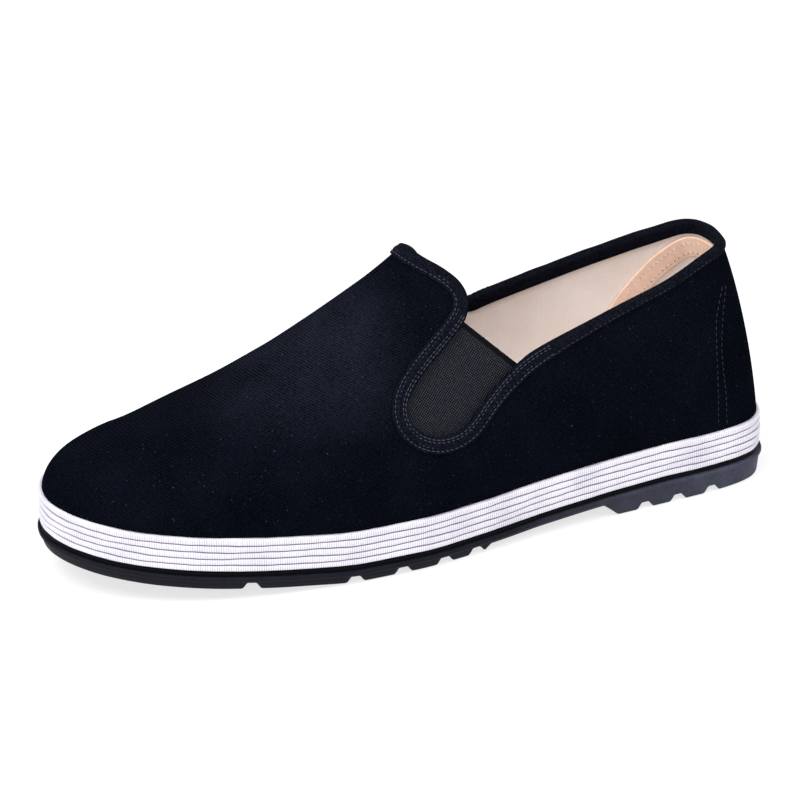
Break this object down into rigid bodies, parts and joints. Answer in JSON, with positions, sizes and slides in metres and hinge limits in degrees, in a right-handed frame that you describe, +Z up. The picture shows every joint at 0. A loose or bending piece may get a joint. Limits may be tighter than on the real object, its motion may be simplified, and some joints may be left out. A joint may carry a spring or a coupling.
{
  "type": "cloth slip-on shoe",
  "caption": "Left black cloth slip-on shoe with elastic side gussets, a bound topline, a white layered cloth sole and a lugged rubber outsole.",
  "frame": {"origin": "on the floor under the middle of the outsole's length and width", "axes": "+Y from heel to toe, +Z up, -X towards the outer (lateral) side of this left shoe"},
  "size_m": [0.1, 0.285, 0.1093],
  "materials": {
    "black_twill": "matt cotton twill with a slight nap",
    "black_tape": "ribbed cotton bias tape",
    "black_elastic": "woven elastic",
    "white_cotton": "white cotton edge binding",
    "black_rubber": "moulded rubber, satin",
    "tan_leather": "smooth tan leather",
    "beige_lining": "plain woven cotton lining"
  },
  "bodies": {
    "root": {"outsole": "black_rubber", "sole_ply_1": "white_cotton", "sole_ply_2": "white_cotton", "sole_ply_3": "white_cotton", "sole_ply_4": "white_cotton", "sole_ply_5": "white_cotton", "insole": "beige_lining", "upper": "black_twill", "topline_tape": "black_tape", "gusset_lateral": "black_elastic", "gusset_medial": "black_elastic", "heel_grip": "tan_leather"}
  },
  "joints": []
}
